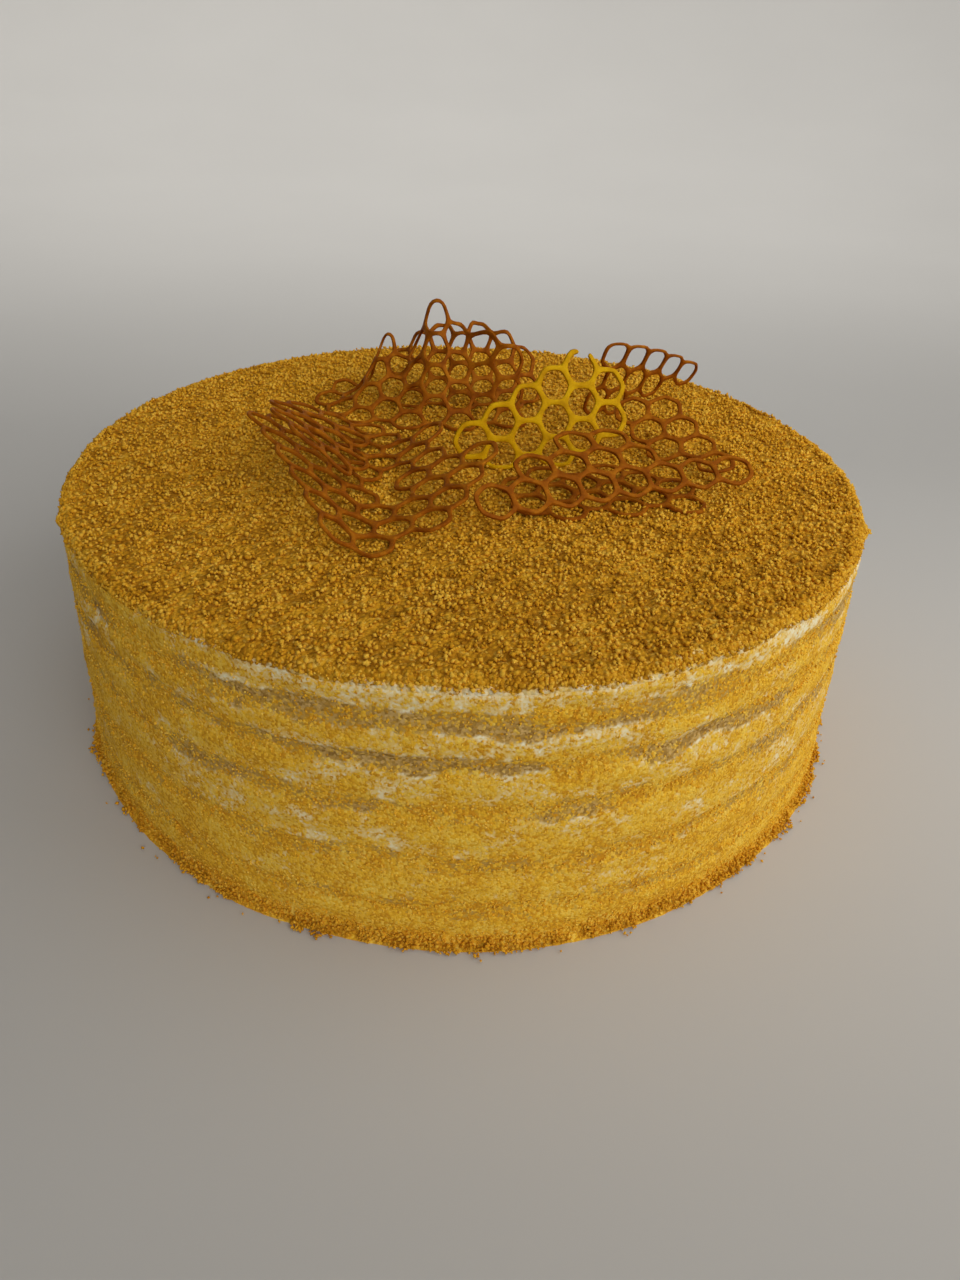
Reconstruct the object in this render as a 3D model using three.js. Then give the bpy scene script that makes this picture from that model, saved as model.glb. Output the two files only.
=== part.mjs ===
// A round honey cake: honey biscuit layers and cream, coated in fine crumbs,
// with nine curled lace wafers of honeycomb pattern on its top.
// Millimetres, +Z up, origin at the middle of the underside.
import * as THREE from 'three';

// ---- Cake body ----
const CAKE_HEIGHT = 68;
const TOP_RADIUS = 102;
const FOOT_RADIUS = 106.5;
const FOOT_FLARE = 1.3;            // extra spread of the crumb foot at the underside
const FOOT_FLARE_HEIGHT = 3;       // height over which that spread dies away
const WALL_WAVE = 0.5;             // slow waviness of the side wall
const LAYER_GAP = 0.3;             // clear gap between one layer and the next
const WALL_PHASE = 1.1;
const BOUNDARY_PHASE = 1.7;        // between one layer's waves and the next
const RIM_STEPS = 52;              // straight stretches round the cake

// Waves round the cake: how many, and how each takes up the phase.
const ROUND_WAVES = [[2, 1], [5, 2.3], [9, 0.7]];

// Height of the boundary above each layer, from the underside up, and how far
// that boundary wanders up and down round the cake.
const LAYERS = [
  { name: 'honey_layer_1', top: 5.8, wave: 0.3, kind: 'honey' },
  { name: 'cream_layer_1', top: 9.3, wave: 0.4, kind: 'cream' },
  { name: 'honey_layer_2', top: 13.6, wave: 0.5, kind: 'honey' },
  { name: 'cream_layer_2', top: 21.4, wave: 0.6, kind: 'cream' },
  { name: 'honey_layer_3', top: 26.2, wave: 0.6, kind: 'honey' },
  { name: 'cream_layer_3', top: 35.8, wave: 0.7, kind: 'cream' },
  { name: 'honey_layer_4', top: 39.8, wave: 0.7, kind: 'honey' },
  { name: 'cream_layer_4', top: 46.6, wave: 0.7, kind: 'cream' },
  { name: 'honey_layer_5', top: 51.2, wave: 0.6, kind: 'honey' },
  { name: 'cream_layer_5', top: 56.0, wave: 0.6, kind: 'cream' },
  { name: 'honey_layer_6', top: 61.6, wave: 0.5, kind: 'honey' },
  { name: 'cream_layer_6', top: 65.6, wave: 0.3, kind: 'cream' },
];

// ---- Crumb coat on the top ----
const TOP_RELIEF = 0.35;           // unevenness of the crumb surface
const RIM_ROUND = 2.4;             // inward rounding of the top edge
const RIM_DROP = 1.7;              // height that the rounding takes up
const TOP_RINGS = [0.9, 0.77, 0.62, 0.46, 0.3, 0.14];   // shares of the flat part
const ROUND_STEPS = 3;

// Slow waves of the crumb surface: turns for each mm of x and y, and phase.
const TOP_WAVES = [[0.071, 0.043, 0.6], [-0.052, 0.088, 2.1], [0.136, -0.117, 4.0]];

// ---- Lace wafers ----
const CELL_PITCH = 8.7;            // between neighbouring holes
const CELL_SIDE = CELL_PITCH / Math.sqrt(3);
const STRUT_WIDTH = 1.3;
const WAFER_THICKNESS = 0.9;
const HOLE_FLAT = (CELL_PITCH - STRUT_WIDTH) / 2;      // hole radius towards a side of its cell
const HOLE_CORNER = HOLE_FLAT / Math.cos(Math.PI / 6);
const CORNERS = 6;
const CURVE_STEPS = 16;            // steps that sum up a curved path
const NORMAL_STEP = 0.05;
const RUFFLE_POWER = 1.5;          // how late the waves of an edge set in

// Every wafer is a flat lattice bent round a spine that runs over the cake.
// start: where the spine starts; lift: its height above the cake's top
// heading, turn: its direction in plan and how far that turns, degrees
// rise: its slope at the start and the end, degrees; length: of the spine
// leftLean, rightLean: tilt of the wing on that side at the spine's start and
// end, degrees; leftCurl: degrees the left wing gains for each mm of its width
// fold: width over which a wing turns up; ruffle: height, number and phase
// of the waves along the edge, full at the distance span from the spine
// origin, grid: place and turn of the lattice on the flat sheet
// columns: lattice column, first and last cell in it, in half pitches, both
// odd in an odd column and even in an even one
// sidePoints: points for each side of a cell, 1 at its corners or 2 with its middle
// broken: cells with a gap in the strut, by column, row and part of the ring
const WAFER_DEFAULTS = {
  lift: 1.5, turn: 0, rise: [0, 0], leftLean: [0, 0], rightLean: [0, 0],
  leftCurl: 0, fold: 3, ruffle: [0, 1, 0], span: 25, grid: 0,
  sidePoints: 1, broken: [],
};

const WAFERS = [
  {
    name: 'wafer_yellow', tint: 'yellow',
    start: [12, -8.5], lift: 1.2, heading: 11.5, turn: -3, length: 40,
    leftLean: [77, 54], leftCurl: -0.22, fold: 2, origin: [-3.25, 20.35],
    columns: [[-1, -3, -3], [0, -4, -2], [1, -3, -1], [2, -4, 0], [3, -3, 1], [4, -2, 0]],
    sidePoints: 2, broken: [[3, 1, 2]],
  },
  {
    name: 'wafer_front_right', tint: 'caramel',
    start: [23.6, -41.8], lift: 2.7, heading: 22.9, turn: -16.6, rise: [0.7, 5], length: 60,
    leftLean: [36.2, 26.8], leftCurl: -0.9, origin: [10.8, 23.2], grid: 90,
    columns: [[0, -2, 0], [-1, -3, 3], [-2, -8, 6]], sidePoints: 2,
  },
  {
    name: 'wafer_front_under', tint: 'caramel',
    start: [14, -38], lift: 1, heading: 16, turn: -10, length: 50,
    leftLean: [5, 3], origin: [3, 5],
    columns: [[0, 0, 2], [1, -1, 3], [2, 0, 2], [3, -1, 3], [4, 0, 2], [5, -1, 1]],
  },
  {
    name: 'wafer_low_right', tint: 'caramel',
    start: [63.6, -12.1], lift: 3.2, heading: -6.4, turn: -1.8, rise: [8, 0], length: 40,
    leftLean: [11.2, 1.7], leftCurl: 0.5, origin: [1.1, 3.2], grid: 90,
    columns: [[0, 0, 0], [1, 1, 3], [2, 2, 4], [3, 3, 5]],
  },
  {
    name: 'wafer_back_right', tint: 'caramel',
    start: [38, 12], lift: 28, heading: 36, turn: 6, rise: [-10, -24], length: 37,
    leftLean: [-70, -62], fold: 1, origin: [3, 4.3], grid: 90,
    columns: [[0, -8, 0], [1, -5, -1], [2, -2, 0]],
  },
  {
    name: 'wafer_ruffled', tint: 'caramel',
    start: [-43.4, 24.5], heading: -24, turn: 50, length: 68,
    leftLean: [14, 86], fold: 4, ruffle: [4.6, 3, -84], span: 27, origin: [4, 5],
    columns: [[-1, 1, 3], [0, 0, 4], [1, -1, 5], [2, 0, 4], [3, -1, 5], [4, 0, 6],
      [5, -1, 5], [6, 0, 4], [7, -1, 3]],
    sidePoints: 2,
  },
  {
    name: 'wafer_ruffled_back', tint: 'caramel',
    start: [-29, 39], heading: -22, turn: 46, length: 50,
    leftLean: [48, 60], ruffle: [3, 3.1, 200], origin: [4, 5],
    columns: [[0, 0, 2], [1, -1, 3], [2, 0, 4], [3, -1, 3], [4, 0, 4], [5, -1, 3], [6, 0, 2]],
  },
  {
    name: 'wafer_left', tint: 'caramel',
    start: [-20, -60], heading: 93, length: 72,
    leftLean: [40, 14], leftCurl: 0.2, rightLean: [12, 35], fold: 6, origin: [4, 0],
    columns: [[0, 0, 2], [1, -3, 3], [2, 0, 4], [2, -4, -2], [3, 1, 5], [3, -5, -3],
      [4, 2, 6], [4, -6, -2], [5, 1, 7], [5, -3, -3], [6, -2, 6], [7, -3, 3], [8, 0, 4]],
    sidePoints: 2,
  },
  {
    name: 'wafer_left_inner', tint: 'caramel',
    start: [-24, -32], lift: 5, heading: 96, length: 45,
    leftLean: [52, 24], leftCurl: -0.6, fold: 5, origin: [4, 0],
    columns: [[0, 2, 4], [1, 1, 5], [2, 2, 4], [3, 1, 5], [4, 0, 4]],
  },
];

const COLOURS = {
  honey: 0x9a7c38, cream: 0xd9b55c, crumb: 0x9d6c1b, caramel: 0x7e4a1a, yellow: 0xc39b0f,
};
const LAYER_ROUGHNESS = 0.85;
const CRUMB_ROUGHNESS = 0.95;
const WAFER_ROUGHNESS = 0.35;

const radians = THREE.MathUtils.degToRad;
const mix = THREE.MathUtils.lerp;

// ---- Cake body ----

// A few unrelated slow waves round the cake, between -1 and 1.
function wander(angle, phase) {
  const waves = ROUND_WAVES.map(([count, shift]) => Math.sin(count * angle + shift * phase));
  return waves.reduce((sum, wave) => sum + wave, 0) / waves.length;
}

function wallRadius(angle, height) {
  const taper = mix(FOOT_RADIUS, TOP_RADIUS, height / CAKE_HEIGHT);
  const flare = FOOT_FLARE * Math.max(0, 1 - height / FOOT_FLARE_HEIGHT) ** 2;
  const slow = WALL_WAVE * wander(angle, WALL_PHASE);
  return taper + flare + slow;
}

// Height of the boundary between two layers at the wall.
function boundaryHeight(layer, index, angle) {
  return layer.top + layer.wave * wander(angle, BOUNDARY_PHASE * index);
}

function closedGeometry(positions, index) {
  const geometry = new THREE.BufferGeometry();
  geometry.setAttribute('position', new THREE.Float32BufferAttribute(positions, 3));
  geometry.setIndex(index);
  geometry.computeVertexNormals();
  return geometry;
}

// A solid from rings of equal point count, closed by one point at each end.
function ringSolid(bottomCentre, rings, topCentre) {
  const positions = [...bottomCentre, ...rings.flat(2), ...topCentre];
  const last = positions.length / 3 - 1;
  const index = [];
  const at = (ring, step) => 1 + ring * RIM_STEPS + (step % RIM_STEPS);
  for (let step = 0; step < RIM_STEPS; step += 1) {
    index.push(0, at(0, step + 1), at(0, step));
    for (let ring = 0; ring + 1 < rings.length; ring += 1) {
      index.push(at(ring, step), at(ring, step + 1), at(ring + 1, step + 1));
      index.push(at(ring, step), at(ring + 1, step + 1), at(ring + 1, step));
    }
    index.push(at(rings.length - 1, step), at(rings.length - 1, step + 1), last);
  }
  return closedGeometry(positions, index);
}

// One ring of points round the cake from a rule for radius and height.
function ring(radiusAt, heightAt) {
  const points = [];
  for (let step = 0; step < RIM_STEPS; step += 1) {
    const angle = (2 * Math.PI * step) / RIM_STEPS;
    const radius = radiusAt(angle);
    const x = radius * Math.cos(angle);
    const y = radius * Math.sin(angle);
    points.push([x, y, heightAt(angle, x, y)]);
  }
  return points;
}

function layerGeometry(index) {
  const layer = LAYERS[index];
  const below = LAYERS[index - 1];
  const floor = below ? below.top + LAYER_GAP / 2 : 0;
  const ceiling = layer.top - LAYER_GAP / 2;
  const low = (angle) => (below ? boundaryHeight(below, index - 1, angle) + LAYER_GAP / 2 : 0);
  const high = (angle) => boundaryHeight(layer, index, angle) - LAYER_GAP / 2;
  const rings = [ring((angle) => wallRadius(angle, floor), low)];
  if (index === 0) {
    const step = (angle) => wallRadius(angle, FOOT_FLARE_HEIGHT / 2);
    rings.push(ring(step, () => FOOT_FLARE_HEIGHT / 2));
  }
  rings.push(ring((angle) => wallRadius(angle, layer.top), high));
  return ringSolid([0, 0, floor], rings, [0, 0, ceiling]);
}

// Slow unevenness of the crumbs on the top, between -1 and 1.
function topRelief(x, y) {
  const waves = TOP_WAVES.map(([byX, byY, phase]) => Math.sin(byX * x + byY * y + phase));
  return waves.reduce((sum, wave) => sum + wave, 0) / waves.length;
}

function crumbTopGeometry() {
  const base = LAYERS.length - 1;
  const low = (angle) => boundaryHeight(LAYERS[base], base, angle) + LAYER_GAP / 2;
  const rings = [ring((angle) => wallRadius(angle, LAYERS[base].top), low)];
  for (let step = 0; step <= ROUND_STEPS; step += 1) {
    const turn = (Math.PI / 2) * (step / ROUND_STEPS);
    const drop = RIM_DROP * (1 - Math.sin(turn));
    const inset = RIM_ROUND * (1 - Math.cos(turn));
    const radius = (angle) => wallRadius(angle, CAKE_HEIGHT) - inset;
    const height = (angle, x, y) => CAKE_HEIGHT - drop + TOP_RELIEF * topRelief(x, y);
    rings.push(ring(radius, height));
  }
  for (const share of TOP_RINGS) {
    const radius = (angle) => share * (wallRadius(angle, CAKE_HEIGHT) - RIM_ROUND);
    rings.push(ring(radius, (angle, x, y) => CAKE_HEIGHT + TOP_RELIEF * topRelief(x, y)));
  }
  const middle = CAKE_HEIGHT + TOP_RELIEF * topRelief(0, 0);
  return ringSolid([0, 0, LAYERS[base].top + LAYER_GAP / 2], rings, [0, 0, middle]);
}

// ---- Lace wafers ----

const ease = (share) => {
  const t = THREE.MathUtils.clamp(share, 0, 1);
  return t * t * (3 - 2 * t);
};

// The point of the bent sheet that belongs to (along, across) on the flat one.
function sheetPoint(wafer, along, across) {
  const share = along / wafer.length;
  const point = new THREE.Vector3(wafer.start[0], wafer.start[1], CAKE_HEIGHT + wafer.lift);
  for (let step = 0; step < CURVE_STEPS; step += 1) {
    const t = (share * (step + 0.5)) / CURVE_STEPS;
    const plan = radians(wafer.heading + wafer.turn * t);
    const slope = radians(mix(wafer.rise[0], wafer.rise[1], t));
    const run = along / CURVE_STEPS;
    point.x += Math.cos(plan) * Math.cos(slope) * run;
    point.y += Math.sin(plan) * Math.cos(slope) * run;
    point.z += Math.sin(slope) * run;
  }
  const onLeft = across >= 0;
  const reach = Math.abs(across);
  const [leanStart, leanEnd] = onLeft ? wafer.leftLean : wafer.rightLean;
  const lean = radians(mix(leanStart, leanEnd, share));
  const curl = onLeft ? radians(wafer.leftCurl) : 0;
  let out = 0;
  let up = 0;
  for (let step = 0; step < CURVE_STEPS; step += 1) {
    const part = (reach * (step + 0.5)) / CURVE_STEPS;
    const tilt = lean * ease(part / wafer.fold) + curl * part;
    out += (Math.cos(tilt) * reach) / CURVE_STEPS;
    up += (Math.sin(tilt) * reach) / CURVE_STEPS;
  }
  const [height, waves, phase] = wafer.ruffle;
  const strength = height * (reach / wafer.span) ** RUFFLE_POWER;
  const wave = strength * Math.sin(2 * Math.PI * waves * share + radians(phase));
  const edgeTilt = lean + curl * reach;
  out -= wave * Math.sin(edgeTilt);
  up += wave * Math.cos(edgeTilt);
  const end = radians(wafer.heading + wafer.turn * share);
  const side = onLeft ? 1 : -1;
  point.x -= Math.sin(end) * side * out;
  point.y += Math.cos(end) * side * out;
  point.z += up;
  return point;
}

// Upper and lower face points of the sheet at (along, across).
function facePoints(wafer, along, across) {
  const ahead = sheetPoint(wafer, along + NORMAL_STEP, across);
  const behind = sheetPoint(wafer, along - NORMAL_STEP, across);
  const left = sheetPoint(wafer, along, across + NORMAL_STEP);
  const right = sheetPoint(wafer, along, across - NORMAL_STEP);
  const normal = ahead.sub(behind).cross(left.sub(right)).normalize();
  const middle = sheetPoint(wafer, along, across);
  const half = WAFER_THICKNESS / 2;
  return {
    upper: middle.clone().addScaledVector(normal, half),
    lower: middle.clone().addScaledVector(normal, -half),
  };
}

// Flat points and ring indices of every cell. The outer ring's corners and
// middles fall on quarter steps of the lattice, so neighbours share them.
function latticeCells(wafer) {
  const grid = radians(wafer.grid);
  const around = CORNERS * wafer.sidePoints;
  const flat = [];                 // flat points, one for each upper and lower pair
  const shared = new Map();
  const addPoint = (a, b) => {
    flat.push([
      wafer.origin[0] + a * Math.cos(grid) - b * Math.sin(grid),
      wafer.origin[1] + a * Math.sin(grid) + b * Math.cos(grid),
    ]);
    return flat.length - 1;
  };
  const sharedPoint = (a, b) => {
    const key = `${Math.round((4 * a) / CELL_SIDE)}:${Math.round((4 * b) / CELL_PITCH)}`;
    if (!shared.has(key)) shared.set(key, addPoint(a, b));
    return shared.get(key);
  };
  const cells = [];
  for (const [column, first, last] of wafer.columns) {
    for (let row = first; row <= last; row += 2) {
      const a = column * 1.5 * CELL_SIDE;
      const b = (row * CELL_PITCH) / 2;
      const outer = [];
      const hole = [];
      for (let part = 0; part < around; part += 1) {
        const corner = part % wafer.sidePoints === 0;
        const angle = (2 * Math.PI * part) / around;
        const reach = corner ? CELL_SIDE : CELL_PITCH / 2;
        const inner = corner ? HOLE_CORNER : HOLE_FLAT;
        outer.push(sharedPoint(a + reach * Math.cos(angle), b + reach * Math.sin(angle)));
        hole.push(addPoint(a + inner * Math.cos(angle), b + inner * Math.sin(angle)));
      }
      const gone = wafer.broken.filter(([c, r]) => c === column && r === row);
      cells.push({ outer, hole, missing: new Set(gone.map(([, , part]) => part)) });
    }
  }
  return { flat, cells };
}

function waferGeometry(wafer) {
  const { flat, cells } = latticeCells(wafer);
  const edges = new Set();
  const parts = [];
  for (const cell of cells) {
    const around = cell.outer.length;
    for (let part = 0; part < around; part += 1) {
      if (!cell.missing.has(part)) {
        const next = (part + 1) % around;
        const before = (part + around - 1) % around;
        parts.push({
          from: cell.outer[part], to: cell.outer[next],
          holeFrom: cell.hole[part], holeTo: cell.hole[next],
          startsGap: cell.missing.has(next), endsGap: cell.missing.has(before),
        });
        edges.add(`${cell.outer[part]}>${cell.outer[next]}`);
      }
    }
  }

  // The sheet's rim lies half a strut outside the outermost lattice lines.
  const pushes = new Map();
  const rim = parts.filter(({ from, to }) => !edges.has(`${to}>${from}`));
  for (const { from, to } of rim) {
    const du = flat[to][0] - flat[from][0];
    const dv = flat[to][1] - flat[from][1];
    const size = Math.hypot(du, dv);
    for (const end of [from, to]) {
      pushes.set(end, [...(pushes.get(end) ?? []), [dv / size, -du / size]]);
    }
  }
  for (const [end, normals] of pushes) {
    const u = normals.reduce((sum, normal) => sum + normal[0], 0);
    const v = normals.reduce((sum, normal) => sum + normal[1], 0);
    const scale = ((STRUT_WIDTH / 2) * normals.length) / (u * u + v * v);
    flat[end] = [flat[end][0] + u * scale, flat[end][1] + v * scale];
  }

  const positions = [];
  for (const [along, across] of flat) {
    const { upper, lower } = facePoints(wafer, along, across);
    positions.push(...upper.toArray(), ...lower.toArray());
  }
  const top = (point) => 2 * point;
  const bottom = (point) => 2 * point + 1;
  const index = [];
  const wall = (from, to) => {
    index.push(top(from), top(to), bottom(to), top(from), bottom(to), bottom(from));
  };
  for (const { from, to, holeFrom, holeTo, startsGap, endsGap } of parts) {
    index.push(top(from), top(to), top(holeTo), top(from), top(holeTo), top(holeFrom));
    index.push(bottom(from), bottom(holeTo), bottom(to));
    index.push(bottom(from), bottom(holeFrom), bottom(holeTo));
    wall(holeFrom, holeTo);
    if (startsGap) wall(holeTo, to);
    if (endsGap) wall(from, holeFrom);
  }
  for (const { from, to } of rim) wall(to, from);

  return closedGeometry(positions, index);
}

// ---- Assembly ----

function piece(name, geometry, kind, roughness) {
  const colour = COLOURS[kind];
  const material = new THREE.MeshStandardMaterial({ color: colour, roughness, metalness: 0 });
  const mesh = new THREE.Mesh(geometry, material);
  mesh.name = name;
  return mesh;
}

const cake = new THREE.Group();
LAYERS.forEach((layer, index) => {
  cake.add(piece(layer.name, layerGeometry(index), layer.kind, LAYER_ROUGHNESS));
});
cake.add(piece('crumb_top', crumbTopGeometry(), 'crumb', CRUMB_ROUGHNESS));
for (const choice of WAFERS) {
  const wafer = { ...WAFER_DEFAULTS, ...choice };
  cake.add(piece(wafer.name, waferGeometry(wafer), wafer.tint, WAFER_ROUGHNESS));
}

export default cake;
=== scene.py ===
import itertools
import math

import bpy
import numpy as np
from mathutils import Matrix, Vector


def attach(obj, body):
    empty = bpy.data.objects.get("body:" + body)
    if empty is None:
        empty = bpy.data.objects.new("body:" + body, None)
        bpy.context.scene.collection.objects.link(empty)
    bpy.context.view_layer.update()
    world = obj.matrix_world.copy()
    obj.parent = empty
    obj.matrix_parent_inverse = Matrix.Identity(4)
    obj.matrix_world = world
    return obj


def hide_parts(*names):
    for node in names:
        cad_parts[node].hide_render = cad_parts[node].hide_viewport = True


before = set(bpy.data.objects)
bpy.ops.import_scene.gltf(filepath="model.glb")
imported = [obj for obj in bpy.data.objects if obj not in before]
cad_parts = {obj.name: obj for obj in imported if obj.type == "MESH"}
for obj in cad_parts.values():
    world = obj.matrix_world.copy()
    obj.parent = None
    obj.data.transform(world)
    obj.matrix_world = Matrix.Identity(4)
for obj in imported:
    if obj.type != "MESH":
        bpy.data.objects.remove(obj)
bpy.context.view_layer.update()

# A round honey cake: honey biscuit layers and cream under a coat of fine crumbs,
# with nine curled lace wafers on its top. Sizes are in millimetres until a mesh
# is made, and every random draw is seeded.
MM = 0.001

# ---- Cake body: the same named sizes as the solids ----
CAKE_HEIGHT = 68
TOP_RADIUS = 102
FOOT_RADIUS = 106.5
FOOT_FLARE = 1.3
FOOT_FLARE_HEIGHT = 3
WALL_WAVE = 0.5
WALL_PHASE = 1.1
BOUNDARY_PHASE = 1.7
ROUND_WAVES = ((2, 1), (5, 2.3), (9, 0.7))
TOP_RELIEF = 0.35
TOP_WAVES = ((0.071, 0.043, 0.6), (-0.052, 0.088, 2.1), (0.136, -0.117, 4.0))
RIM_ROUND = 2.4
RIM_DROP = 1.7
# Name, height of the boundary above, its wave, and how bare of crumbs the band is.
LAYERS = (
    ("honey_layer_1", 5.8, 0.3, 0.02), ("cream_layer_1", 9.3, 0.4, 0.05),
    ("honey_layer_2", 13.6, 0.5, 0.16), ("cream_layer_2", 21.4, 0.6, 0.14),
    ("honey_layer_3", 26.2, 0.6, 0.18), ("cream_layer_3", 35.8, 0.7, 0.24),
    ("honey_layer_4", 39.8, 0.7, 0.38), ("cream_layer_4", 46.6, 0.7, 0.26),
    ("honey_layer_5", 51.2, 0.6, 0.54), ("cream_layer_5", 56.0, 0.6, 0.26),
    ("honey_layer_6", 61.6, 0.5, 0.52), ("cream_layer_6", 65.6, 0.3, 0.4),
)
BAND_BLEND = 1.0               # half the height over which one band passes into the next

# ---- Fineness and relief of the skins ----
GRID = 250                     # squares along each side of the top's grid
AROUND = 4 * GRID              # steps round the cake
ROW_HEIGHT = 0.7
LEAST_ROWS = 3
ROUND_ROWS = 6                 # rows of the rounded top edge
ROUND_POWER = 3                # how late those rows close in on the boundary below
CLUMP_SIZE = 1.7
CLUMP_DEPTH = 0.4
CLUMP_MEAN = 0.5
CLUMP_SEED = 41
BARE_CLUMPS = 0.25             # share of the clumps' depth where no crumbs lie
TOP_CLUMP_DEPTH = 0.6
TOP_CLUMP_MEAN = 0.4
BAND_DEPTH = 0.22              # cream stands proud, biscuit lies back
RIM_WOBBLE = 0.55
RIM_WOBBLE_SIZE = 9
RIM_WOBBLE_SEED = 51
RIM_WOBBLE_HEIGHTS = (58, 66)  # heights between which the wobble sets in
LEAST_COVER = 0.21             # crumbs that stay on the barest cream and biscuit
SWELL_MEAN, SWELL_MOST = 0.9, 2
COAT_HEIGHTS = (66.5, 67.1)    # heights between which the top's coat takes over
FOOT_COVER = 0.6               # how much denser the crumbs get at the foot
FOOT_COVER_HEIGHTS = (3, 9)    # heights between which that ends

# Layers of noise: size in all directions or along each axis, strength, seed.
STREAKS = (((16, 16, 2.6), 0.3, 31),)      # smears left by the spatula, long and low
BAND_SMEARS = (((10, 10, 4), 1.5, 24), (2.2, 0.9, 25))
BAND_SWELLS = (((26, 26, 9), 1.5, 26), ((11, 11, 3), 1.1, 27))
COVER_PATCHES = (((7, 7, 3.4), 0.22, 21), ((3, 3, 2.2), 0.34, 22), (1.4, 0.2, 23))
COAT_EDGE = ((5, 0.45, 28),)
RIM_RAGGED = ((5, 0.8, 93),)
FOOT_RAGGED = ((7, 0.6, 71), (2.4, 0.6, 72))
WAFER_UNEVEN = ((2.2, 0.18, 83),)

# Little heaps that the crumbs of the top gather in: size, strength and seed of their clumps.
HEAP_LAYERS = ((3.8, 0.6, 91), (1.9, 0.4, 95))
HEAP_CONTRAST, HEAP_MIDDLE, HEAP_MEAN = 1.6, 0.78, 0.5
HEAP_HEIGHT = 0.9

RIM_LUMP_DROP = 1              # how far below the top the middle of its lumps lies
# Lumps that stick out of the top edge: angle in degrees, size, how far.
RIM_LUMPS = ((-20, 2.6, 1.8), (5, 2.2, 1.3), (31, 2.4, 0.9), (74, 3.0, 1.0), (118, 2.4, 0.8),
             (163, 2.8, 1.1), (205, 2.2, 0.9), (247, 2.6, 0.7))

# Stretches of the upper bands with few crumbs: band, angle, half width, strength. One with a
# negative strength has more crumbs than the rest of its band.
BARE_STRETCHES = ((11, -54, 17, 0.6), (11, -86, 10, 0.34), (11, -104, 8, 0.02), (11, -126, 9, 0.16),
                  (11, 35, 10, 0.3), (11, 80, 14, 0.36), (11, 140, 12, 0.3), (11, 215, 10, -0.2),
                  (10, -62, 15, 0.32), (10, 20, 14, 0.3), (10, 110, 20, 0.3), (9, -78, 6, 0.26),
                  (9, -50, 8, 0.26), (9, 60, 9, 0.3), (10, 205, 22, -0.3))

# ---- Loose crumbs: how many, the seed of their places, the finest and the coarsest size ----
TOP_CRUMBS, TOP_SEED, TOP_SIZES = 24500, 7, (0.7, 1.8)
RIM_CRUMBS, RIM_SEED, RIM_SIZES = 5200, 9, (0.7, 1.7)
SIDE_CRUMBS, SIDE_SEED, SIDE_SIZES = 24500, 11, (0.4, 0.9)
FOOT_CRUMBS, FOOT_SEED, FOOT_SIZES = 11000, 17, (0.55, 1.4)
SIZE_SPREAD = (1.3, 3.2)       # shape of the spread of sizes
LUMP_REACH = (0.7, 1.2)        # how far a crumb's corners reach, in half sizes
LUMP_SKEW = 0.2
CRUMB_LIFT = 0.15              # how far a crumb stands out from its place, in sizes
TONE_SHARE = 0.5               # how far a crumb takes the tone of its place
PLAIN_TONE, RIM_TONE = 0.5, 0.6
TOP_TRIES, SIDE_TRIES = 2, 3   # places drawn for each crumb that may stay
TOP_MARGIN = 0.6
BETWEEN_HEAPS = 0.35           # share of the crumbs that stay between the heaps
TOP_PILE = 0.7
RIM_TURN = 0.85                # how far round the edge the crumbs go
RIM_HANG = 0.5                 # how far crumbs of the edge hang over the top band
HANG_FROM, HANG_GROWTH = 0.8, 5
SIDE_FROM, SIDE_MARGIN = 0.4, 0.8
COVER_DRAW = (0.1, 1.0)        # a crumb stays where its draw is below the cover
FOOT_SPREAD, FOOT_SPREAD_POWER = 1.8, 1.3
FOOT_PILE, FOOT_PILE_POWER, FOOT_PILE_FALL = 4.4, 1.4, 0.8
FOOT_SEAT = 0.8                # height of a crumb's middle above the floor, in sizes
FOOT_SINK = 0.4
FOOT_STRAYS = 0.014
STRAY_REACH = (0.5, 4)

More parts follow.
